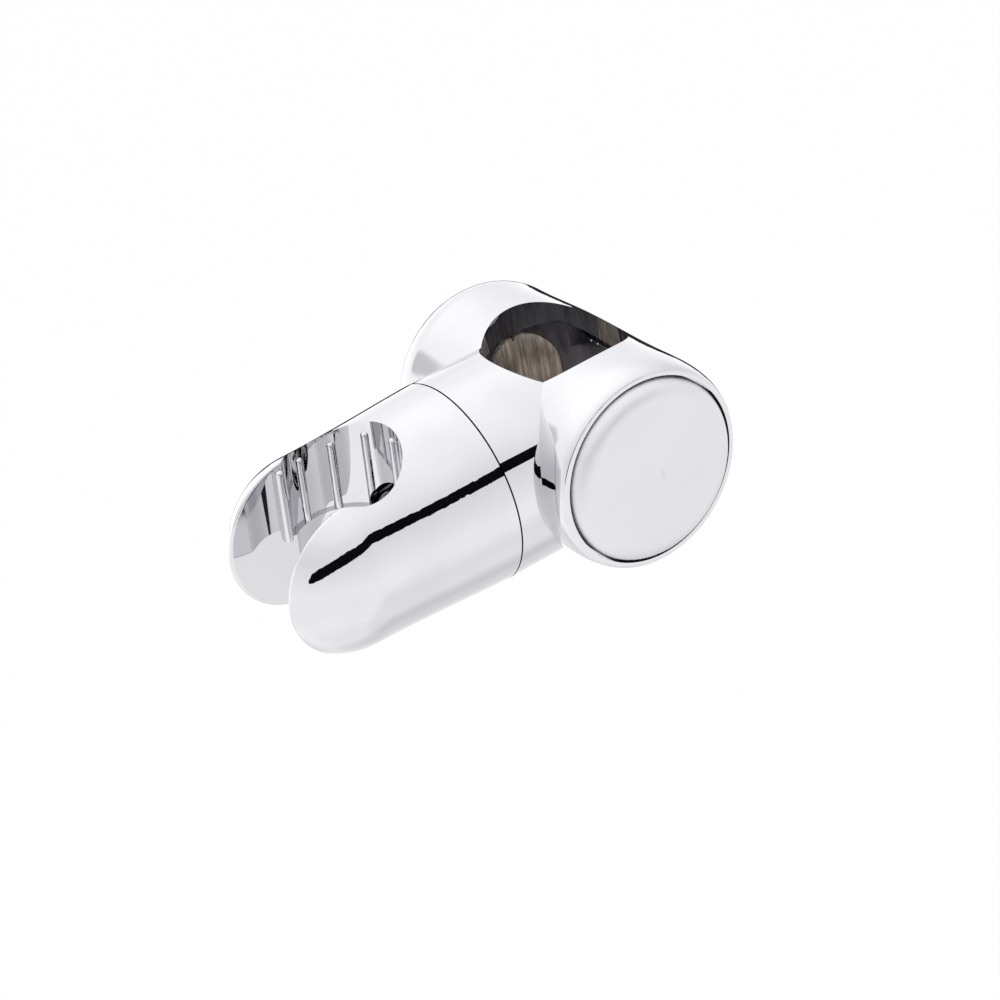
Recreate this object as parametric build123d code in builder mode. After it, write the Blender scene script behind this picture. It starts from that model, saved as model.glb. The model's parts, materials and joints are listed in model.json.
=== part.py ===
# Shower rail slider
# A chromed T body clamps a round rail, and a handset holder swivels on its short arm.
# The origin is where the rail's axis crosses the axis of the cross barrel.
# X runs along the barrel to the button, -Y along the arm to the holder, Z up the rail.

import os
from math import cos, radians, sin, sqrt

from build123d import *

os.makedirs("parts", exist_ok=True)

# Rail and the round mouths that it passes through
rail_diameter = 25.0
rail_play = 0.15
mouth_radius = rail_diameter / 2 + rail_play

# Travel of the button, counted from the clamped position on a rail
press_travel = 2.0
over_travel = 0.8
end_gap = 0.3
window_spare = 0.15

# Brake slide: a slug with a window that lets the rail through
window_gap = 0.35
slide_arm = 2.1
slide_fit = 0.08
arm_half_height = 7.0
arm_cut_reach = 10.0
crossbar = 1.95
slide_chamfer = 2.5
flat_half_height = 13.1
flat_gap = 0.08
flat_overlap = 0.5
window_half_width = mouth_radius + window_gap
slide_radius = window_half_width + slide_arm
window_left_x = -(mouth_radius + over_travel + end_gap + window_spare)
window_right_x = mouth_radius + press_travel + end_gap
slide_right_x = window_right_x + crossbar

# Brake shoe and its rubber pad
pad_gap = 0.3
pad_thickness = 2.0
shoe_thickness = 2.2
shoe_width = 14.4
shoe_height = 24.8
shoe_fit = 0.08
pad_face_radius = mouth_radius + pad_gap
shoe_front_x = -(pad_face_radius + pad_thickness)
shoe_back_x = shoe_front_x - shoe_thickness
pad_notch = 1.6
shoe_floor = 4.5

# Return spring behind the slide
spring_wire_radius = 0.5
spring_coil_radius = 5.2
spring_pocket_depth = 3.0
spring_room = 0.5
spring_seat_wall = 0.8
spring_length = 8.0
spring_turns = 4.5
spring_pocket_x = shoe_back_x - shoe_floor
slide_left_x = spring_pocket_x - spring_pocket_depth
spring_pocket_radius = spring_coil_radius + spring_wire_radius + spring_room
spring_seat_x = spring_pocket_x - spring_length
spring_seat_radius = spring_pocket_radius + spring_seat_wall
spring_spigot_radius = spring_coil_radius - spring_wire_radius - spring_room
spring_spigot_length = 2.5

# Barrel of the T body
cavity_radius = slide_radius + slide_fit
barrel_wall = 3.22
barrel_radius = cavity_radius + barrel_wall
left_taper = 0.6
left_waist_x = -9.5
left_waist_drop = 0.1
barrel_top_x = 2.0
barrel_top_drop = 0.05
cavity_dome_length = 7.6
dome_wall = 1.8
dome_shift = 1.5
cavity_dome_x = slide_left_x + end_gap
cavity_end_x = cavity_dome_x - cavity_dome_length
dome_base_x = cavity_dome_x + dome_shift
dome_end_x = cavity_end_x - dome_wall
dome_radius = barrel_radius - left_taper

# Collar round the button
ring_clearance = 0.1
ring_thickness = 1.0
ring_bite = 0.9
ring_fit = 0.08
ring_land = 0.4
ring_height = 2.3
ring_lug_radius = 1.7
ring_lug_hole = 0.8
ring_lug_inset = 0.3
ring_half_opening = 5.0
ring_x = slide_right_x + over_travel + ring_clearance
collar_floor_x = ring_x + ring_thickness + ring_land
collar_depth = 3.9
rim_x = collar_floor_x + collar_depth
crest_rise = 0.2
crest_radius = barrel_radius + crest_rise
rim_round = 5.4
crest_x = rim_x - rim_round
collar_wall = 1.9
collar_bore_radius = crest_radius - collar_wall
rim_lip = 0.55
neck_x = 11.0
neck_drop = 0.0

# Push button
button_gap = 0.3
button_radius = collar_bore_radius - button_gap
button_skirt = 1.1
button_edge_round = 3.4
button_edge_slope = 7.0
button_side_drop = 1.2
skirt_end_x = collar_floor_x + press_travel + end_gap
button_edge_x = rim_x - button_side_drop
carrier_fit = 0.05
carrier_flange_radius = button_radius - button_skirt - carrier_fit
carrier_neck_radius = 11.5
carrier_flange = 1.6
carrier_screw_reach = 8.5
carrier_core_radius = 5.0
screw_radius = 1.5
screw_head_radius = 2.3
screw_head_height = 1.4
screw_fit = 0.05
head_gap = 0.2
carrier_screw_bite = 3.4
carrier_floor = 2.0

# Arm of the T body
arm_web = 3.1
recess_depth = 5.5
hub_fit = 0.08
hub_radius = 12.0
disc_thickness = 0.9
disc_gap = 0.1
disc_inner_radius = 6.6
disc_edge_gap = 0.28
boss_radius = 5.2
boss_length = 5.0
insert_radius = 3.6
insert_inset = 0.2
insert_length = 6.6
insert_fit = 0.02
insert_bore_gap = 0.05
insert_groove = 0.4
insert_groove_width = 1.4
recess_floor_y = -(cavity_radius + arm_web)
arm_end_y = recess_floor_y - recess_depth
boss_end_y = recess_floor_y - boss_length

# Swivel stack between the holder and the body
joint_gap = 0.3
bush_fit = 0.05
bush_press = 0.02
bush_wall = 1.0
bush_inset = 0.5
boss_clearance = 0.4
bush_end_gap = 0.18
swivel_screw_radius = 2.5
swivel_screw_gap = 0.3
swivel_screw_end = 0.6
pivot_head_radius = 4.6
pivot_head_height = 3.2
pivot_head_cover = 1.9
pivot_head_round = 1.2
recess_cross = 4.6
recess_slot = 1.0
recess_cross_depth = 2.0
washer_radius = 5.3
washer_thickness = 1.0
washer_hole_gap = 0.2
wave_height = 1.0
wave_thickness = 0.5
wave_inset = 0.1
head_hole_radius = 5.7
hub_web = 4.7
ring_section = 0.7
ring_squeeze = 0.05
ring_groove = 1.5
ring_groove_width = 1.6
ring_groove_inset = 0.7
stop_pin_radius = 1.0
stop_pin_inset = 3.1
stop_pin_reach = hub_radius - stop_pin_inset
stop_pin_seat = 2.0
stop_pin_hole_gap = 0.1
stop_pin_length = 4.6
stop_slot_gap = 0.3
stop_slot_depth = 2.0
swivel_half_range = 60.0
hub_end_y = recess_floor_y - disc_thickness - disc_gap
holder_back_y = arm_end_y - joint_gap
groove_y = holder_back_y + ring_groove_inset
pocket_floor_y = boss_end_y - boss_clearance
bush_outer_radius = boss_radius + bush_fit + bush_wall
head_seat_y = pocket_floor_y - hub_web

# Handset holder
holder_turn = 7.6
socket_radius = 10.45
socket_ledge = 0.6
ledge_drop = 0.9
slot_half_width = 8.3
tip_lead = 4.55
tip_length = 16.15
tip_taper = 0.95
slot_edge_round = 0.5
socket_reach = (-head_seat_y + wave_height + washer_thickness + pivot_head_height
                + pivot_head_cover + socket_radius)
socket_lower_radius = socket_radius - socket_ledge
tip_start_y = -(socket_reach + tip_lead)
tip_end_y = tip_start_y - tip_length
tip_radius = barrel_radius - tip_taper

# Ribs on the upper wall of the socket
rib_radius = 0.8
rib_sink = 0.22
rib_step = 33.0
ribs_each_side = 4
rib_top_drop = 1.7

# Longer than any cut has to be
through = 60.0

# Where a curve's handles stand, as a share of the way to its corner, for a quarter of an ellipse
ellipse_pull = 0.5523


def tilted_plane(height):
    """The plane across the socket's axis at a height along it, turned with the holder."""
    turn = radians(holder_turn)
    upward = Vector(sin(turn), 0, cos(turn))
    centre = Vector(0, -socket_reach, 0) + upward * height
    return Plane(origin=centre, x_dir=(cos(turn), 0, -sin(turn)), z_dir=upward)


def quarter_ellipse(start, corner, end):
    """Draws a quarter of an ellipse from start to end, bulging towards the corner."""
    first = Vector(start)
    bend = Vector(corner)
    last = Vector(end)
    Bezier(first, first + (bend - first) * ellipse_pull, last + (bend - last) * ellipse_pull, last)


# T body: the arm, and a barrel with a domed end and a flared collar, bored for rail and slide
with BuildPart() as slider_body:
    with BuildSketch(Plane.XZ):
        Circle(barrel_radius)
    extrude(amount=-arm_end_y)
    with BuildSketch(Plane.XY):
        with BuildLine():
            quarter_ellipse((dome_end_x, 0), (dome_end_x, dome_radius), (dome_base_x, dome_radius))
            Spline(
                (dome_base_x, dome_radius),
                (left_waist_x, barrel_radius - left_waist_drop),
                (barrel_top_x, barrel_radius - barrel_top_drop),
                (neck_x, barrel_radius - neck_drop),
                (crest_x, crest_radius),
                tangents=((1, 0), (1, 0)),
            )
            rim_edge_radius = collar_bore_radius + rim_lip
            quarter_ellipse((crest_x, crest_radius), (rim_x, crest_radius), (rim_x, rim_edge_radius))
            Line((rim_x, rim_edge_radius), (rim_x, 0))
            Line((rim_x, 0), (dome_end_x, 0))
        make_face()
    revolve(axis=Axis.X)

    # Cavity of the slide, the ring's groove and the button's recess
    with BuildSketch(Plane.XY):
        with BuildLine():
            quarter_ellipse((cavity_end_x, 0), (cavity_end_x, cavity_radius), (cavity_dome_x, cavity_radius))
            Polyline(
                (cavity_dome_x, cavity_radius),
                (ring_x, cavity_radius),
                (ring_x, cavity_radius + ring_bite),
                (ring_x + ring_thickness, cavity_radius + ring_bite),
                (ring_x + ring_thickness, cavity_radius),
                (collar_floor_x, cavity_radius),
                (collar_floor_x, collar_bore_radius),
                (rim_x, collar_bore_radius),
                (rim_x, 0),
                (cavity_end_x, 0),
            )
        make_face()
    revolve(axis=Axis.X, mode=Mode.SUBTRACT)

    # Flats above and below the slide, which keep it from turning
    with BuildSketch(Plane.YZ.offset(cavity_dome_x)):
        Circle(cavity_radius + flat_overlap)
        Rectangle(2 * barrel_radius, 2 * flat_half_height, mode=Mode.SUBTRACT)
    extrude(amount=ring_x - end_gap - cavity_dome_x)

    # Seat and spigot of the return spring in the domed end
    with BuildSketch(Plane.YZ.offset(cavity_end_x - dome_wall / 2)):
        Circle(spring_seat_radius)
    extrude(amount=spring_seat_x - cavity_end_x + dome_wall / 2)
    with BuildSketch(Plane.YZ.offset(cavity_end_x)):
        Circle(spring_spigot_radius)
    extrude(amount=spring_seat_x + spring_spigot_length - cavity_end_x)

    # Mouths for the rail
    with BuildSketch(Plane.XY):
        Circle(mouth_radius)
    extrude(amount=through, both=True, mode=Mode.SUBTRACT)

    # Recess in the arm, round the boss of the swivel screw
    with BuildSketch(Plane.XZ.offset(-recess_floor_y)):
        Circle(hub_radius + hub_fit)
        Circle(boss_radius, mode=Mode.SUBTRACT)
    extrude(amount=recess_depth, mode=Mode.SUBTRACT)
    with BuildSketch(Plane.XZ.offset(-boss_end_y)):
        Circle(boss_radius)
    extrude(amount=recess_depth, mode=Mode.SUBTRACT)
    with BuildSketch(Plane.XZ.offset(-boss_end_y)):
        Circle(insert_radius + insert_fit)
    extrude(amount=-(insert_length + insert_inset), mode=Mode.SUBTRACT)
    with BuildSketch(Plane.XZ.offset(-recess_floor_y)):
        with Locations((0, stop_pin_reach)):
            Circle(stop_pin_radius)
    extrude(amount=-stop_pin_seat, mode=Mode.SUBTRACT)
slider_body.part.label = "slider_body"
export_step(slider_body.part, "parts/slider_body.step")

# Brake slide: the slug that carries the shoe on one side of the rail and the button on the other
with BuildPart() as brake_slide:
    with BuildSketch(Plane.YZ.offset(slide_left_x)):
        Circle(slide_radius)
    extrude(amount=slide_right_x - slide_left_x)
    chamfer(brake_slide.edges().sort_by(Axis.X)[0], slide_chamfer)
    with BuildSketch(Plane.XZ):
        Rectangle(through, 2 * (flat_half_height - flat_gap))
    extrude(amount=through, both=True, mode=Mode.INTERSECT)
    window_length = window_right_x - window_left_x
    with BuildSketch(Plane.XY):
        with Locations(((window_left_x + window_right_x) / 2, 0)):
            SlotOverall(window_length, 2 * window_half_width)
    extrude(amount=through, both=True, mode=Mode.SUBTRACT)
    with BuildSketch(Plane.XZ):
        with Locations((0, arm_half_height + slide_radius / 2), (0, -arm_half_height - slide_radius / 2)):
            Rectangle(2 * arm_cut_reach, slide_radius)
    extrude(amount=through, both=True, mode=Mode.SUBTRACT)
    with BuildSketch(Plane.YZ.offset(shoe_back_x)):
        SlotOverall(shoe_height + 2 * shoe_fit, shoe_width + 2 * shoe_fit, rotation=90)
    extrude(amount=-shoe_back_x, mode=Mode.SUBTRACT)
    with BuildSketch(Plane.YZ.offset(slide_left_x)):
        Circle(spring_pocket_radius)
    extrude(amount=spring_pocket_depth, mode=Mode.SUBTRACT)
    with BuildSketch(Plane.YZ.offset(spring_pocket_x)):
        Circle(screw_radius + screw_fit)
    extrude(amount=shoe_floor, mode=Mode.SUBTRACT)
    with BuildSketch(Plane.YZ.offset(slide_right_x)):
        with Locations((carrier_screw_reach, 0), (-carrier_screw_reach, 0)):
            Circle(screw_radius + screw_fit)
    extrude(amount=-(carrier_screw_bite + end_gap), mode=Mode.SUBTRACT)
brake_slide.part.label = "brake_slide"
export_step(brake_slide.part, "parts/brake_slide.step")

# Brake shoe: a round-ended plate in the slide's pocket
with BuildPart() as brake_shoe:
    with BuildSketch(Plane.YZ.offset(shoe_back_x)):
        SlotOverall(shoe_height, shoe_width, rotation=90)
    extrude(amount=shoe_thickness)
    with BuildSketch(Plane.YZ.offset(shoe_back_x)):
        Circle(screw_radius + screw_fit)
    extrude(amount=shoe_thickness, mode=Mode.SUBTRACT)
brake_shoe.part.label = "brake_shoe"
export_step(brake_shoe.part, "parts/brake_shoe.step")

# Brake pad: rubber on the shoe, hollowed to the rail's round and notched at its top
with BuildPart() as brake_pad:
    with BuildSketch(Plane.YZ.offset(shoe_front_x)):
        SlotOverall(shoe_height, shoe_width, rotation=90)
    extrude(amount=pad_thickness + shoe_width / 2)
    with BuildSketch(Plane.XY):
        Circle(pad_face_radius)
    extrude(amount=through, both=True, mode=Mode.SUBTRACT)
    with BuildSketch(Plane.YZ.offset(shoe_front_x)):
        with BuildLine():
            Polyline(
                (-pad_notch / 2, shoe_height / 2 + pad_notch),
                (0, shoe_height / 2 - pad_notch),
                (pad_notch / 2, shoe_height / 2 + pad_notch),
                close=True,
            )
        make_face()
    extrude(amount=shoe_width, mode=Mode.SUBTRACT)
brake_pad.part.label = "brake_pad"
export_step(brake_pad.part, "parts/brake_pad.step")

# Screw that holds the shoe to the slide, its head in the spring's pocket
with BuildPart() as shoe_screw:
    with BuildSketch(Plane.YZ.offset(spring_pocket_x - screw_head_height)):
        Circle(screw_head_radius)
        Rectangle(recess_slot, 2 * screw_radius, mode=Mode.SUBTRACT)
        Rectangle(2 * screw_radius, recess_slot, mode=Mode.SUBTRACT)
    extrude(amount=screw_head_height)
    with BuildSketch(Plane.YZ.offset(spring_pocket_x - screw_head_height / 2)):
        Circle(screw_radius)
    extrude(amount=screw_head_height / 2 + shoe_floor + shoe_thickness)
shoe_screw.part.label = "shoe_screw"
export_step(shoe_screw.part, "parts/shoe_screw.step")

# Return spring: pushes the slide towards the button, so that the shoe grips the rail
with BuildPart() as return_spring:
    spring_height = spring_length - 2 * spring_wire_radius
    with BuildLine() as spring_path:
        Helix(
            pitch=spring_height / spring_turns,
            height=spring_height,
            radius=spring_coil_radius,
            center=(spring_seat_x + spring_wire_radius, 0, 0),
            direction=(1, 0, 0),
        )
    with BuildSketch(Plane(spring_path.line @ 0, z_dir=spring_path.line % 0)):
        Circle(spring_wire_radius)
    sweep(path=spring_path.line, is_frenet=True)
return_spring.part.label = "return_spring"
export_step(return_spring.part, "parts/return_spring.step")

# Retaining ring: stops the slide from leaving the cavity
with BuildPart() as retaining_ring:
    ring_outer_radius = cavity_radius + ring_bite - ring_fit
    ring_inner_radius = ring_outer_radius - ring_height
    lug_reach = ring_outer_radius - ring_lug_radius - ring_lug_inset
    lug_drop = sqrt(lug_reach**2 - ring_half_opening**2)
    with BuildSketch(Plane.YZ.offset(ring_x + ring_clearance / 2)):
        Circle(ring_outer_radius)
        Circle(ring_inner_radius, mode=Mode.SUBTRACT)
        with Locations((0, -ring_outer_radius)):
            Rectangle(2 * ring_half_opening, ring_outer_radius, mode=Mode.SUBTRACT)
        with Locations((ring_half_opening, -lug_drop), (-ring_half_opening, -lug_drop)):
            Circle(ring_lug_radius)
            Circle(ring_lug_hole, mode=Mode.SUBTRACT)
    extrude(amount=ring_thickness - ring_clearance)
retaining_ring.part.label = "retaining_ring"
export_step(retaining_ring.part, "parts/retaining_ring.step")

# Button carrier: screwed to the slide, inside the button's cap
with BuildPart() as button_carrier:
    with BuildSketch(Plane.YZ.offset(slide_right_x)):
        Circle(carrier_neck_radius)
    extrude(amount=skirt_end_x - slide_right_x)
    with BuildSketch(Plane.YZ.offset(skirt_end_x)):
        Circle(carrier_flange_radius)
    extrude(amount=carrier_flange)
    with BuildSketch(Plane.YZ.offset(slide_right_x + carrier_floor)):
        Circle(carrier_core_radius)
        with Locations((carrier_screw_reach, 0), (-carrier_screw_reach, 0)):
            Circle(screw_head_radius + head_gap)
    extrude(amount=through, mode=Mode.SUBTRACT)
    with BuildSketch(Plane.YZ.offset(slide_right_x)):
        with Locations((carrier_screw_reach, 0), (-carrier_screw_reach, 0)):
            Circle(screw_radius + screw_fit)
    extrude(amount=carrier_floor, mode=Mode.SUBTRACT)
button_carrier.part.label = "button_carrier"
export_step(button_carrier.part, "parts/button_carrier.step")

# Two screws that hold the carrier to the slide
with BuildPart() as button_screws:
    head_x = slide_right_x + carrier_floor
    with BuildSketch(Plane.YZ.offset(head_x)):
        with Locations((carrier_screw_reach, 0), (-carrier_screw_reach, 0)):
            Circle(screw_head_radius)
            Rectangle(recess_slot, 2 * screw_radius, mode=Mode.SUBTRACT)
            Rectangle(2 * screw_radius, recess_slot, mode=Mode.SUBTRACT)
    extrude(amount=screw_head_height)
    with BuildSketch(Plane.YZ.offset(head_x + screw_head_height / 2)):
        with Locations((carrier_screw_reach, 0), (-carrier_screw_reach, 0)):
            Circle(screw_radius)
    extrude(amount=-(screw_head_height / 2 + carrier_floor + carrier_screw_bite))
button_screws.part.label = "button_screws"
export_step(button_screws.part, "parts/button_screws.step")

# Button cap: a domed disc with a rounded edge and a short skirt over the carrier
with BuildPart() as button_cap:
    slope = radians(button_edge_slope)
    edge_centre_r = button_radius - button_edge_round
    edge_end_x = button_edge_x + button_edge_round * cos(slope)
    edge_end_r = edge_centre_r + button_edge_round * sin(slope)
    dome_sphere = edge_end_r / sin(slope)
    front_x = edge_end_x + dome_sphere * (1 - cos(slope))
    inner_x = skirt_end_x + carrier_flange
    with BuildSketch(Plane.XZ):
        with BuildLine():
            Polyline(
                (inner_x, 0),
                (inner_x, button_radius - button_skirt),
                (skirt_end_x, button_radius - button_skirt),
                (skirt_end_x, button_radius),
                (button_edge_x, button_radius),
            )
            CenterArc(
                (button_edge_x, edge_centre_r), button_edge_round, 90, button_edge_slope - 90
            )
            CenterArc((front_x - dome_sphere, 0), dome_sphere, 0, button_edge_slope)
            Line((front_x, 0), (inner_x, 0))
        make_face()
    revolve(axis=Axis.X)
button_cap.part.label = "button_cap"
export_step(button_cap.part, "parts/button_cap.step")

# Handset holder: a tapering, round-ended arm with a ribbed socket and a slot between two prongs
with BuildPart() as handset_holder:
    with BuildSketch(Plane.XY):
        with BuildLine():
            Line((0, holder_back_y), (barrel_radius, holder_back_y))
            Spline(
                (barrel_radius, holder_back_y),
                (tip_radius, tip_start_y),
                tangents=((-tip_taper / (holder_back_y - tip_start_y), -1), (0, -1)),
            )
            quarter_ellipse((tip_radius, tip_start_y), (tip_radius, tip_end_y), (0, tip_end_y))
            Line((0, tip_end_y), (0, holder_back_y))
        make_face()
    revolve(axis=Axis.Y)
    with BuildSketch(Plane.XZ.offset(-hub_end_y)):
        Circle(hub_radius)
    extrude(amount=hub_end_y - holder_back_y)

    # Slot between the prongs, with its outer edges rounded
    with BuildSketch(tilted_plane(0)):
        with Locations((0, -through / 2)):
            Rectangle(2 * slot_half_width, through)
    extrude(amount=through, both=True, mode=Mode.SUBTRACT)
    prong_walls = handset_holder.faces().filter_by(Axis((0, 0, 0), tilted_plane(0).x_dir))
    fillet(prong_walls.edges().filter_by(GeomType.LINE, reverse=True), slot_edge_round)

    # Socket and its ledge
    with BuildSketch(tilted_plane(-ledge_drop)):
        Circle(socket_radius)
    extrude(amount=through, mode=Mode.SUBTRACT)
    with BuildSketch(tilted_plane(0)):
        Circle(socket_lower_radius)
    extrude(amount=through, both=True, mode=Mode.SUBTRACT)

    # Ribs round the socket's upper wall, from the ledge to just under the rim
    rib_circle = socket_radius + rib_sink
    for rib in range(-ribs_each_side, ribs_each_side + 1):
        angle = radians(90 + rib * rib_step)
        across = rib_circle * cos(angle)
        along = rib_circle * sin(angle)
        rib_top = sqrt(tip_radius**2 - across**2) - rib_top_drop
        with BuildSketch(tilted_plane(-ledge_drop)):
            with Locations((across, along)):
                Circle(rib_radius)
        extrude(amount=rib_top + ledge_drop - rib_radius)
        with Locations(tilted_plane(rib_top - rib_radius).from_local_coords((across, along, 0))):
            Sphere(rib_radius)

    # Hole for the swivel screw's head, the screw's own hole and the pocket round the boss
    with BuildSketch(Plane.XZ.offset(-head_seat_y)):
        Circle(head_hole_radius)
    extrude(amount=socket_reach + head_seat_y, mode=Mode.SUBTRACT)
    with BuildSketch(Plane.XZ.offset(-hub_end_y)):
        Circle(swivel_screw_radius + swivel_screw_gap)
    extrude(amount=hub_end_y - head_seat_y, mode=Mode.SUBTRACT)
    with BuildSketch(Plane.XZ.offset(-hub_end_y)):
        Circle(bush_outer_radius + bush_press)
    extrude(amount=hub_end_y - pocket_floor_y, mode=Mode.SUBTRACT)

    # Groove of the swivel's O-ring and the curved slot that the stop pin runs in
    with BuildSketch(Plane.XZ.offset(-groove_y)):
        Circle(hub_radius + hub_fit)
        Circle(hub_radius - ring_groove, mode=Mode.SUBTRACT)
    extrude(amount=-ring_groove_width, mode=Mode.SUBTRACT)
    with BuildSketch(Plane.XZ.offset(-hub_end_y)):
        with BuildLine() as stop_arc:
            CenterArc((0, 0), stop_pin_reach, 90 - holder_turn - swivel_half_range, 2 * swivel_half_range)
        SlotArc(stop_arc.edge(), 2 * (stop_pin_radius + stop_slot_gap))
    extrude(amount=stop_slot_depth, mode=Mode.SUBTRACT)
handset_holder.part.label = "handset_holder"
export_step(handset_holder.part, "parts/handset_holder.step")

# Pivot bush: a plain sleeve between the boss and the holder
with BuildPart() as pivot_bush:
    with BuildSketch(Plane.XZ.offset(-hub_end_y + bush_inset)):
        Circle(bush_outer_radius)
        Circle(boss_radius + bush_fit, mode=Mode.SUBTRACT)
    extrude(amount=hub_end_y - bush_inset - pocket_floor_y - bush_end_gap)
pivot_bush.part.label = "pivot_bush"
export_step(pivot_bush.part, "parts/pivot_bush.step")

# Friction disc between the arm's recess and the holder's hub, held by the stop pin
with BuildPart() as friction_disc:
    with BuildSketch(Plane.XZ.offset(-recess_floor_y)):
        Circle(hub_radius + hub_fit - disc_edge_gap)
        Circle(disc_inner_radius, mode=Mode.SUBTRACT)
        with Locations((0, stop_pin_reach)):
            Circle(stop_pin_radius + stop_pin_hole_gap, mode=Mode.SUBTRACT)
    extrude(amount=disc_thickness)
friction_disc.part.label = "friction_disc"
export_step(friction_disc.part, "parts/friction_disc.step")

# O-ring in the hub's groove: steadies the swivel
with BuildPart() as swivel_o_ring:
    with Locations(Plane.XZ.offset(-groove_y - ring_groove_width / 2)):
        Torus(hub_radius - ring_squeeze - ring_section, ring_section)
swivel_o_ring.part.label = "swivel_o_ring"
export_step(swivel_o_ring.part, "parts/swivel_o_ring.step")

# Threaded insert in the boss, waisted so that it can't pull out
with BuildPart() as threaded_insert:
    with BuildSketch(Plane.XZ.offset(-boss_end_y - insert_inset)):
        Circle(insert_radius)
    extrude(amount=-insert_length)
    with BuildSketch(Plane.XZ.offset(-boss_end_y - insert_inset - insert_length / 2)):
        Circle(insert_radius)
        Circle(insert_radius - insert_groove, mode=Mode.SUBTRACT)
    extrude(amount=insert_groove_width / 2, both=True, mode=Mode.SUBTRACT)
    with BuildSketch(Plane.XZ.offset(-boss_end_y - insert_inset)):
        Circle(swivel_screw_radius + insert_bore_gap)
    extrude(amount=-insert_length, mode=Mode.SUBTRACT)
threaded_insert.part.label = "threaded_insert"
export_step(threaded_insert.part, "parts/threaded_insert.step")

# Swivel screw: holds the holder to the arm, with its head sunk in the socket's wall
with BuildPart() as swivel_screw:
    head_base_y = head_seat_y - wave_height - washer_thickness
    shank_end_y = boss_end_y + insert_inset + insert_length - swivel_screw_end
    with BuildSketch(Plane.XZ.offset(-head_base_y)):
        Circle(pivot_head_radius)
    extrude(amount=pivot_head_height)
    fillet(swivel_screw.edges().sort_by(Axis.Y)[0], pivot_head_round)
    with BuildSketch(Plane.XZ.offset(-head_base_y)):
        Circle(swivel_screw_radius)
    extrude(amount=head_base_y - shank_end_y)
    with BuildSketch(Plane.XZ.offset(-head_base_y + pivot_head_height)):
        Rectangle(recess_cross, recess_slot)
        Rectangle(recess_slot, recess_cross)
    extrude(amount=-recess_cross_depth, mode=Mode.SUBTRACT)
swivel_screw.part.label = "swivel_screw"
export_step(swivel_screw.part, "parts/swivel_screw.step")

# Plain washer under the screw's head
with BuildPart() as plain_washer:
    with BuildSketch(Plane.XZ.offset(-head_seat_y + wave_height)):
        Circle(washer_radius)
        Circle(swivel_screw_radius + washer_hole_gap, mode=Mode.SUBTRACT)
    extrude(amount=washer_thickness)
plain_washer.part.label = "plain_washer"
export_step(plain_washer.part, "parts/plain_washer.step")

# Curved spring washer: keeps the swivel stiff as it wears
with BuildPart() as spring_washer:
    wave_radius = washer_radius - wave_inset
    wave_rise = wave_height - wave_thickness
    bend_radius = (wave_radius**2 + wave_rise**2) / (2 * wave_rise)
    with BuildSketch(Plane.XZ.offset(-head_seat_y)):
        Circle(wave_radius)
        Circle(swivel_screw_radius + swivel_screw_gap, mode=Mode.SUBTRACT)
    extrude(amount=wave_height)
    with BuildSketch(Plane.XY):
        with Locations((0, head_seat_y - wave_rise + bend_radius)):
            Circle(bend_radius + wave_thickness)
            Circle(bend_radius, mode=Mode.SUBTRACT)
    extrude(amount=through, both=True, mode=Mode.INTERSECT)
spring_washer.part.label = "spring_washer"
export_step(spring_washer.part, "parts/spring_washer.step")

# Stop pin: pressed into the arm, it runs in the hub's curved slot
with BuildPart() as stop_pin:
    with BuildSketch(Plane.XZ.offset(-recess_floor_y - stop_pin_seat)):
        with Locations((0, stop_pin_reach)):
            Circle(stop_pin_radius)
    extrude(amount=stop_pin_length)
stop_pin.part.label = "stop_pin"
export_step(stop_pin.part, "parts/stop_pin.step")
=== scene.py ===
# Shower rail slider: chromed T body, push button and swivelling handset holder

import json
from math import cos, radians, sin, sqrt

import bpy
from mathutils import Matrix, Vector


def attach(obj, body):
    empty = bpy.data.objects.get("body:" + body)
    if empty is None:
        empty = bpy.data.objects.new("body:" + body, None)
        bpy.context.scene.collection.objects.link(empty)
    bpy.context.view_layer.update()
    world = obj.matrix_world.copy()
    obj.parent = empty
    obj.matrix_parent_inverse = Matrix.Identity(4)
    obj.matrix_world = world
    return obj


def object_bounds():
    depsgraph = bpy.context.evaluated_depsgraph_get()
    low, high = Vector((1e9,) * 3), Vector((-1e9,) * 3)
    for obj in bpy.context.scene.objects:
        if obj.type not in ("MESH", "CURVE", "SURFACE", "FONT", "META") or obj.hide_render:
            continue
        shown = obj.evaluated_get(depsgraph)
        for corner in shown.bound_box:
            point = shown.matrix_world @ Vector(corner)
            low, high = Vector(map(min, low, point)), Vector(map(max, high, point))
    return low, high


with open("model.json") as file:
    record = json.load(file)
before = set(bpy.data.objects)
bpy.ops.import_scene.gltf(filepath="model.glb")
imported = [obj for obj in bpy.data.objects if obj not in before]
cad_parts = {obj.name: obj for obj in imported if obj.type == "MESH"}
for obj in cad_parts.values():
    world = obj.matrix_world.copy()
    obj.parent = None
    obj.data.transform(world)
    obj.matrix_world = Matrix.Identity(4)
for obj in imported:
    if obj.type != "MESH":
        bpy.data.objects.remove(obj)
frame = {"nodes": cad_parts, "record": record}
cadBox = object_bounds()
print("frame loaded:", len(frame["nodes"]), "nodes")

mm = 0.001  # the sizes below are in millimetres
smoothAngle = 40  # degrees, above which an edge stays sharp
bpy.context.scene.view_settings.view_transform = "Standard"


def linear(hexColour):
    channels = [int(hexColour[i : i + 2], 16) / 255 for i in (1, 3, 5)]
    return tuple(c / 12.92 if c <= 0.04045 else ((c + 0.055) / 1.055) ** 2.4 for c in channels) + (1.0,)


def addNode(tree, kind, values=None, links=None):
    node = tree.nodes.new(kind)
    for name, value in (values or {}).items():
        if isinstance(name, str) and hasattr(node, name):
            setattr(node, name, value)
        else:
            node.inputs[name].default_value = value
    for socket, source in (links or {}).items():
        tree.links.new(source, node.inputs[socket])
    return node


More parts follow.
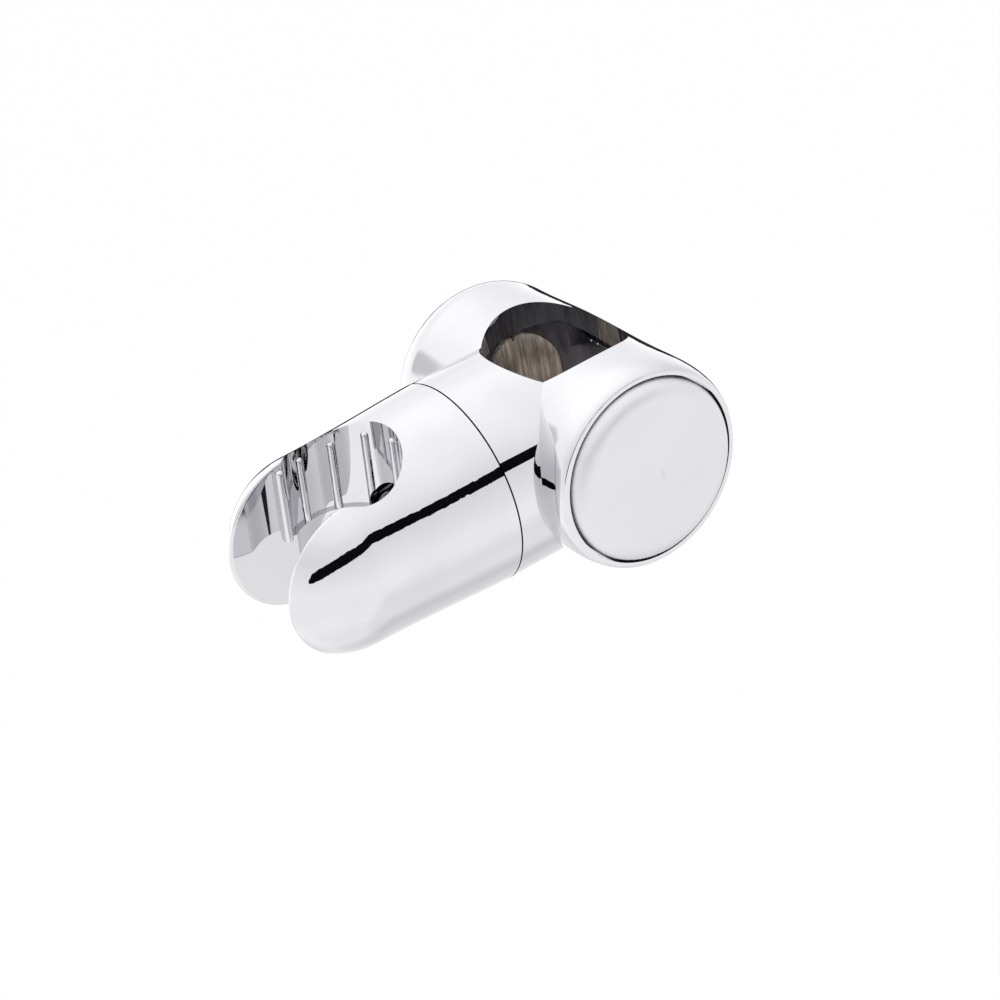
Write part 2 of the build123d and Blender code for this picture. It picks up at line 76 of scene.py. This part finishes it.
def newTree(name):
    material = bpy.data.materials.new(name)
    material.use_nodes = True
    material.node_tree.nodes.clear()
    return material, material.node_tree


def rampStops(ramp, stops):
    elements = ramp.color_ramp.elements
    while len(elements) < len(stops):
        elements.new(0.5)
    for element, (place, colour) in zip(elements, sorted(stops)):
        element.position = place
        element.color = linear(colour)


def deselectAll():
    if bpy.context.object and bpy.context.object.mode != "OBJECT":
        bpy.ops.object.mode_set(mode="OBJECT")
    bpy.ops.object.select_all(action="DESELECT")


# Camera: the photograph's angle, seen from above the holder and a little to the button's side
cameraSet = {  # angles in degrees, lengths in millimetres
    "azimuth": 60.093,
    "elevation": 31.59,
    "roll": -11.413,
    "distance": 766.35,
    "across": -11.768,
    "upward": -13.097,
    "lens": 161.54,  # on a 36 mm sensor
}


def makeCamera():
    azimuth, elevation, roll = (radians(cameraSet[k]) for k in ("azimuth", "elevation", "roll"))
    back = Vector((sin(azimuth) * cos(elevation), -cos(azimuth) * cos(elevation), sin(elevation)))
    level = Vector((cos(azimuth), sin(azimuth), 0))
    upright = back.cross(level)
    right = level * cos(roll) + upright * sin(roll)
    up = upright * cos(roll) - level * sin(roll)
    data = bpy.data.cameras.new("productCamera")
    data.sensor_width = 36
    data.lens = cameraSet["lens"]
    data.clip_start = 0.01
    data.clip_end = 100
    camera = bpy.data.objects.new("productCamera", data)
    bpy.context.scene.collection.objects.link(camera)
    place = back * cameraSet["distance"] + right * cameraSet["across"] + up * cameraSet["upward"]
    camera.matrix_world = Matrix.Translation(place * mm) @ Matrix((right, up, back)).transposed().to_4x4()
    bpy.context.scene.camera = camera


makeCamera()
print("camera set")

# Studio: a white room, a soft tent that only reflections see, and a long black flag and a narrow gap in it
studio = {
    "tentRadius": 40.0,  # metres, far enough to look the same from every point of the part
    "flagRadius": 20.0,  # metres, inside the tent
    "flagTone": "#101013",
    "flagStations": [  # azimuth, and the elevations of the lower and upper edge
        (36, 21.0, 29.5),
        (30, 20.2, 28.5),
        (25, 17.8, 27.1),
        (22, 17.0, 26.4),
        (15, 16.3, 25.8),
        (3, 15.2, 25.4),
        (-9, 13.4, 25.0),
        (-29, 8.4, 20.0),
        (-41, 3.4, 15.4),
        (-52, -2.0, 10.3),
        (-59, -4.5, 6.0),
        (-64, -5.5, -2.0),
    ],
    "gapTone": "#2c2c30",
    "gapStations": [  # low behind the part, for the thin dark lines on the barrel's far outline
        (126, -28.0, -16.0),
        (138, -31.0, -14.5),
        (150, -32.0, -14.0),
        (162, -29.0, -14.5),
    ],
    "floorSize": 30,  # metres
    "floorDrop": 0.28,  # metres below the part
    "floorTone": "#f4f4f4",
    "floorWhite": 0.985,  # share of plain white in the floor, the rest takes the shadow
    "roomLight": 0.62,
    "tentStrength": 1.485,  # makes up for what the plating swallows
    "tentTones": [  # elevation in degrees, tone
        (-90, "#eaeaec"),
        (-60, "#f4f4f5"),
        (-40, "#f1f1f2"),
        (-20, "#f2f2f3"),
        (0, "#e7e7e9"),
        (15, "#dfdfe1"),
        (30, "#e4e4e6"),
        (45, "#f2f2f3"),
        (60, "#f8f8f9"),
        (90, "#ffffff"),
    ],
    "tentPatches": [  # azimuth and elevation of the middle, half width, soft edge, change of tone
        (193, 12, 6, 85, 0.27),  # the side wall, nearer to its lamp
        (127, -55, 2, 36, -0.28),  # shade low behind the part
        (56, -54, 14, 16, -0.12),
        (220, 16, 6, 6, -0.45),  # the edge of the side lamp's frame
        (151, -4, 3, 20, -0.14),
        (199, -41, 12, 18, -0.33),
    ],
}


def onlyReflected(piece):
    piece.visible_camera = False
    piece.visible_diffuse = False
    piece.visible_transmission = False
    piece.visible_volume_scatter = False
    piece.visible_shadow = False


def makeTent():
    deselectAll()
    bpy.ops.mesh.primitive_uv_sphere_add(segments=64, ring_count=32, radius=studio["tentRadius"])
    tent = bpy.context.object
    tent.name = "lightTent"
    material, tree = newTree("tentSilk")
    place = addNode(tree, "ShaderNodeTexCoord")
    ray = addNode(tree, "ShaderNodeVectorMath", {"operation": "NORMALIZE"}, {0: place.outputs["Object"]})
    axes = addNode(tree, "ShaderNodeSeparateXYZ", {}, {0: ray.outputs[0]})
    height = addNode(tree, "ShaderNodeMapRange", {"From Min": -1.0}, {0: axes.outputs["Z"]})
    ramp = addNode(tree, "ShaderNodeValToRGB", {}, {0: height.outputs[0]})
    rampStops(ramp, [((sin(radians(e)) + 1) / 2, tone) for e, tone in studio["tentTones"]])
    brightness = addNode(tree, "ShaderNodeValue")
    brightness.outputs[0].default_value = 1.0
    for azimuth, elevation, inner, soft, change in studio["tentPatches"]:
        a, e = radians(azimuth), radians(elevation)
        middle = (cos(e) * cos(a), cos(e) * sin(a), sin(e))
        facing = {"operation": "DOT_PRODUCT", 1: middle}
        near = addNode(tree, "ShaderNodeVectorMath", facing, {0: ray.outputs[0]})
        edge = {"From Min": cos(radians(inner + soft)), "From Max": cos(radians(inner)), "To Max": change}
        edge["interpolation_type"] = "SMOOTHSTEP"
        patch = addNode(tree, "ShaderNodeMapRange", edge, {0: near.outputs["Value"]})
        sources = {0: brightness.outputs[0], 1: patch.outputs[0]}
        brightness = addNode(tree, "ShaderNodeMath", {"operation": "ADD"}, sources)
    scale = {"operation": "MULTIPLY", 1: studio["tentStrength"]}
    strength = addNode(tree, "ShaderNodeMath", scale, {0: brightness.outputs[0]})
    light = {"Color": ramp.outputs[0], "Strength": strength.outputs[0]}
    glow = addNode(tree, "ShaderNodeEmission", {}, light)
    addNode(tree, "ShaderNodeOutputMaterial", {}, {0: glow.outputs[0]})
    tent.data.materials.append(material)
    onlyReflected(tent)


def makeStrip(name, stations, tone):
    deselectAll()
    bpy.ops.mesh.primitive_grid_add(x_subdivisions=len(stations) - 1, y_subdivisions=1, size=2)
    strip = bpy.context.object
    strip.name = name
    vertices = sorted(strip.data.vertices, key=lambda vertex: (round(vertex.co.x, 4), vertex.co.y))
    for i, (azimuth, low, high) in enumerate(stations):
        for vertex, elevation in ((vertices[2 * i], low), (vertices[2 * i + 1], high)):
            a, e = radians(azimuth), radians(elevation)
            vertex.co = Vector((cos(e) * cos(a), cos(e) * sin(a), sin(e))) * studio["flagRadius"]
    material, tree = newTree(name + "Cloth")
    glow = addNode(tree, "ShaderNodeEmission", {"Color": linear(tone)})
    addNode(tree, "ShaderNodeOutputMaterial", {}, {0: glow.outputs[0]})
    strip.data.materials.append(material)
    onlyReflected(strip)


def seenDirectly(tree):
    path = addNode(tree, "ShaderNodeLightPath")
    rays = {0: path.outputs["Is Camera Ray"], 1: path.outputs["Is Glossy Ray"]}
    first = addNode(tree, "ShaderNodeMath", {"operation": "MAXIMUM"}, rays)
    rays = {0: first.outputs[0], 1: path.outputs["Is Transmission Ray"]}
    return addNode(tree, "ShaderNodeMath", {"operation": "MAXIMUM"}, rays).outputs[0]


def makeFloor():
    deselectAll()
    height = cadBox[0][2] - studio["floorDrop"]
    bpy.ops.mesh.primitive_plane_add(size=studio["floorSize"], location=(0, 0, height))
    floor = bpy.context.object
    floor.name = "paleFloor"
    material, tree = newTree("whiteFloor")
    seen = seenDirectly(tree)
    matte = addNode(tree, "ShaderNodeBsdfDiffuse", {"Color": linear(studio["floorTone"])})
    white = addNode(tree, "ShaderNodeEmission", {"Color": (1, 1, 1, 1)})
    whiteShare = {"operation": "MULTIPLY", 1: studio["floorWhite"]}
    share = addNode(tree, "ShaderNodeMath", whiteShare, {0: seen})
    sources = {0: share.outputs[0], 1: matte.outputs[0], 2: white.outputs[0]}
    mix = addNode(tree, "ShaderNodeMixShader", {}, sources)
    addNode(tree, "ShaderNodeOutputMaterial", {}, {0: mix.outputs[0]})
    floor.data.materials.append(material)
    floor.visible_glossy = False  # the tent's lower half stands for it there


def makeRoom():
    world = bpy.data.worlds.new("whiteRoom")
    bpy.context.scene.world = world
    world.use_nodes = True
    tree = world.node_tree
    tree.nodes.clear()
    seen = seenDirectly(tree)
    dimmed = {"Color": (1, 1, 1, 1), "Strength": studio["roomLight"]}
    soft = addNode(tree, "ShaderNodeBackground", dimmed)
    white = addNode(tree, "ShaderNodeBackground", {"Color": (1, 1, 1, 1), "Strength": 1.0})
    sources = {0: seen, 1: soft.outputs[0], 2: white.outputs[0]}
    mix = addNode(tree, "ShaderNodeMixShader", {}, sources)
    addNode(tree, "ShaderNodeOutputWorld", {}, {0: mix.outputs[0]})


overheadLamp = {
    "place": (0.1, -0.1, 0.9),  # metres
    "size": 0.5,
    "watts": 7.0,
}


def makeLamp(name, values):
    data = bpy.data.lights.new(name, "AREA")
    data.shape = "DISK"
    data.size = values["size"]
    data.energy = values["watts"]
    lamp = bpy.data.objects.new(name, data)
    bpy.context.scene.collection.objects.link(lamp)
    lamp.location = values["place"]
    lamp.rotation_euler = Vector(values["place"]).to_track_quat("Z", "Y").to_euler()
    lamp.visible_glossy = False
    lamp.visible_camera = False


makeTent()
makeStrip("blackFlag", studio["flagStations"], studio["flagTone"])
makeStrip("wallGap", studio["gapStations"], studio["gapTone"])
makeFloor()
makeRoom()
makeLamp("overheadLamp", overheadLamp)
print("studio built")


# Noise stays mostly between these values, so roughness and tones are spread over them
roughSpan = (0.3, 0.7)
toneSpan = (0.32, 0.68)


# Cloudy noise whose features are about featureSize millimetres, drawn out where stretch is below one
def grain(tree, featureSize, stretch=(1, 1, 1), detail=3.0):
    place = addNode(tree, "ShaderNodeTexCoord")
    scaled = addNode(tree, "ShaderNodeMapping", {"Scale": stretch}, {"Vector": place.outputs["Object"]})
    values = {"Scale": 1 / (featureSize * mm), "Detail": detail}
    return addNode(tree, "ShaderNodeTexNoise", values, {"Vector": scaled.outputs[0]}).outputs[0]


def between(tree, source, low, high):
    values = {"From Min": roughSpan[0], "From Max": roughSpan[1], "To Min": low, "To Max": high}
    return addNode(tree, "ShaderNodeMapRange", values, {"Value": source}).outputs[0]


def tones(tree, source, dark, light):
    ramp = addNode(tree, "ShaderNodeValToRGB", {}, {0: source})
    rampStops(ramp, list(zip(toneSpan, (dark, light))))
    return ramp.outputs[0]


# Fine bump, with its depth in millimetres
def relief(tree, source, depth, strength):
    values = {"Distance": depth * mm, "Strength": strength}
    return addNode(tree, "ShaderNodeBump", values, {"Height": source}).outputs[0]


def shade(tree, metallic, colour, roughness, normal=None):
    links = {"Base Color": colour, "Roughness": roughness}
    if normal:
        links["Normal"] = normal
    shader = addNode(tree, "ShaderNodeBsdfPrincipled", {"Metallic": metallic}, links)
    addNode(tree, "ShaderNodeOutputMaterial", {}, {0: shader.outputs[0]})


# Chrome over moulded ABS: a clear, slightly blue mirror, with the faint haze that wiping leaves
def polishedChrome():
    material, tree = newTree("polishedChrome")
    haze = grain(tree, 9.0)
    shade(tree, 1.0, tones(tree, haze, "#cbcbce", "#cfcfd1"), between(tree, haze, 0.012, 0.03))
    return material


# Satin chrome on the button: one wide soft glow and a very fine, even grain
def satinChrome():
    material, tree = newTree("satinChrome")
    fine = grain(tree, 0.25, detail=2.0)
    cloud = grain(tree, 12.0)
    colour = tones(tree, cloud, "#d3d3d6", "#d8d8da")
    shade(tree, 1.0, colour, between(tree, cloud, 0.47, 0.52), relief(tree, fine, 0.002, 0.05))
    return material


# Dark acetal of the slide and the carrier: waxy, near black, with paler swirls from the mould
def darkAcetal():
    material, tree = newTree("darkAcetal")
    swirl = grain(tree, 3.5, (1, 1, 0.4), 5.0)
    fine = grain(tree, 0.4)
    colour = tones(tree, swirl, "#3a383c", "#6e6a6d")
    shade(tree, 0.0, colour, between(tree, swirl, 0.16, 0.34), relief(tree, fine, 0.01, 0.2))
    return material


# White acetal of the swivel's bush and disc: milky, low gloss, turned by use
def whiteAcetal():
    material, tree = newTree("whiteAcetal")
    swirl = grain(tree, 4.0)
    fine = grain(tree, 0.3)
    colour = tones(tree, swirl, "#d3d3cc", "#e4e4de")
    shade(tree, 0.0, colour, between(tree, swirl, 0.32, 0.45), relief(tree, fine, 0.01, 0.15))
    return material


# Turned steel of the screws, shoe and pin: pale grey with fine lines round the part
def turnedSteel():
    material, tree = newTree("turnedSteel")
    lines = grain(tree, 0.5, (6, 6, 0.5))
    colour = tones(tree, lines, "#b9b9bc", "#d3d3d5")
    shade(tree, 1.0, colour, between(tree, lines, 0.2, 0.34), relief(tree, lines, 0.004, 0.2))
    return material


# Drawn spring steel: darker, with lengthwise streaks left by the die
def springSteel():
    material, tree = newTree("springSteel")
    streaks = grain(tree, 0.8, (0.4, 4, 4))
    colour = tones(tree, streaks, "#8f8f94", "#b4b4b6")
    shade(tree, 1.0, colour, between(tree, streaks, 0.24, 0.38), relief(tree, streaks, 0.004, 0.2))
    return material


# Brake pad: brown-grey rubber, mottled and streaked upright where the rail has rubbed it
def padRubber():
    material, tree = newTree("padRubber")
    streaks = grain(tree, 0.9, (1.6, 1.6, 0.14), 6.0)
    mottle = grain(tree, 3.2, (1, 1, 0.6), 5.0)
    dark = tones(tree, mottle, "#7d6f64", "#e6ddd2")
    light = tones(tree, streaks, "#a89c92", "#fbf5ee")
    values = {"data_type": "RGBA", "blend_type": "MULTIPLY", "factor_mode": "UNIFORM"}
    mix = addNode(tree, "ShaderNodeMix", values)
    mix.inputs[0].default_value = 0.85
    tree.links.new(light, mix.inputs[6])
    tree.links.new(dark, mix.inputs[7])
    shade(tree, 0.0, mix.outputs[2], between(tree, streaks, 0.3, 0.55), relief(tree, streaks, 0.08, 0.6))
    return material


# O-ring rubber: black, greasy, with a faint bloom
def ringRubber():
    material, tree = newTree("ringRubber")
    bloom = grain(tree, 1.4)
    colour = tones(tree, bloom, "#1b1b1c", "#303031")
    shade(tree, 0.0, colour, between(tree, bloom, 0.35, 0.55), relief(tree, bloom, 0.01, 0.2))
    return material


# Turned brass of the insert: warm, with fine tool lines and a little tarnish
def turnedBrass():
    material, tree = newTree("turnedBrass")
    lines = grain(tree, 0.6, (5, 0.6, 5))
    tarnish = grain(tree, 2.5)
    colour = tones(tree, tarnish, "#b9934b", "#dfbf7a")
    shade(tree, 1.0, colour, between(tree, lines, 0.2, 0.36), relief(tree, lines, 0.005, 0.2))
    return material


finishes = {
    "chrome_plating": polishedChrome(),
    "button_chrome": satinChrome(),
    "slide_acetal": darkAcetal(),
    "bearing_acetal": whiteAcetal(),
    "steel": turnedSteel(),
    "spring_steel": springSteel(),
    "pad_rubber": padRubber(),
    "ring_rubber": ringRubber(),
    "brass": turnedBrass(),
}
print("materials made")

# The CAD shells keep their meshes and get their finishes
for row in frame["record"]["subparts"]:
    piece = frame["nodes"][row["node"]]
    piece.data.materials.clear()
    piece.data.materials.append(finishes[row["material_slot"]])
print("CAD nodes dressed")


def settle(piece, slot, body):
    bpy.ops.object.transform_apply(location=True, rotation=True, scale=True)
    bpy.ops.object.shade_smooth_by_angle(angle=radians(smoothAngle))
    piece.data.materials.append(finishes[slot])
    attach(piece, body)


def joinAll(pieces, name):
    deselectAll()
    for piece in pieces:
        piece.select_set(True)
    bpy.context.view_layer.objects.active = pieces[0]
    bpy.ops.object.join()
    joined = bpy.context.object
    joined.name = name
    return joined


# Fine upright ribs moulded on the face of the brake pad
padRib = {
    "faceRadius": 12.97,  # the pad's hollow face, a little sunk
    "radius": 0.14,
    "halfSpread": 30.0,  # degrees either side of the pad's middle
    "count": 25,
    "halfHeight": 4.6,  # of the straight part, below the pad's round end
    "endRadius": 6.9,
}


def makePadRibs():
    ribs = []
    for i in range(padRib["count"]):
        angle = radians(180 + padRib["halfSpread"] * (2 * i / (padRib["count"] - 1) - 1))
        deselectAll()
        x, y = padRib["faceRadius"] * cos(angle), padRib["faceRadius"] * sin(angle)
        height = 2 * (padRib["halfHeight"] + sqrt(padRib["endRadius"] ** 2 - y**2))
        rod = {"vertices": 10, "radius": padRib["radius"] * mm, "depth": height * mm}
        bpy.ops.mesh.primitive_cylinder_add(location=(x * mm, y * mm, 0), **rod)
        ribs.append(bpy.context.object)
    settle(joinAll(ribs, "padRibs"), "pad_rubber", "button")


# Bead and round studs along the inner top edge of the slide's far arm
armEdge = {
    "depth": 12.95,  # along +Y, at the edge of the window
    "height": 6.98,
    "beadRadius": 0.22,
    "beadSpan": (-9.6, 6.0),
    "studRadius": 0.34,
    "studPlaces": (-8.8, -6.9, -3.4),
}


def makeArmEdge():
    low, high = armEdge["beadSpan"]
    places = [(x * mm, armEdge["depth"] * mm, armEdge["height"] * mm) for x in armEdge["studPlaces"]]
    middle = ((low + high) / 2 * mm, armEdge["depth"] * mm, armEdge["height"] * mm)
    deselectAll()
    bead = {"vertices": 16, "radius": armEdge["beadRadius"] * mm, "depth": (high - low) * mm}
    bpy.ops.mesh.primitive_cylinder_add(location=middle, rotation=(0, radians(90), 0), **bead)
    pieces = [bpy.context.object]
    for place in places:
        deselectAll()
        ball = {"segments": 20, "ring_count": 12, "radius": armEdge["studRadius"] * mm}
        bpy.ops.mesh.primitive_uv_sphere_add(location=place, **ball)
        pieces.append(bpy.context.object)
    settle(joinAll(pieces, "armEdgeBead"), "steel", "button")


makePadRibs()
makeArmEdge()
print("mouth detail made")
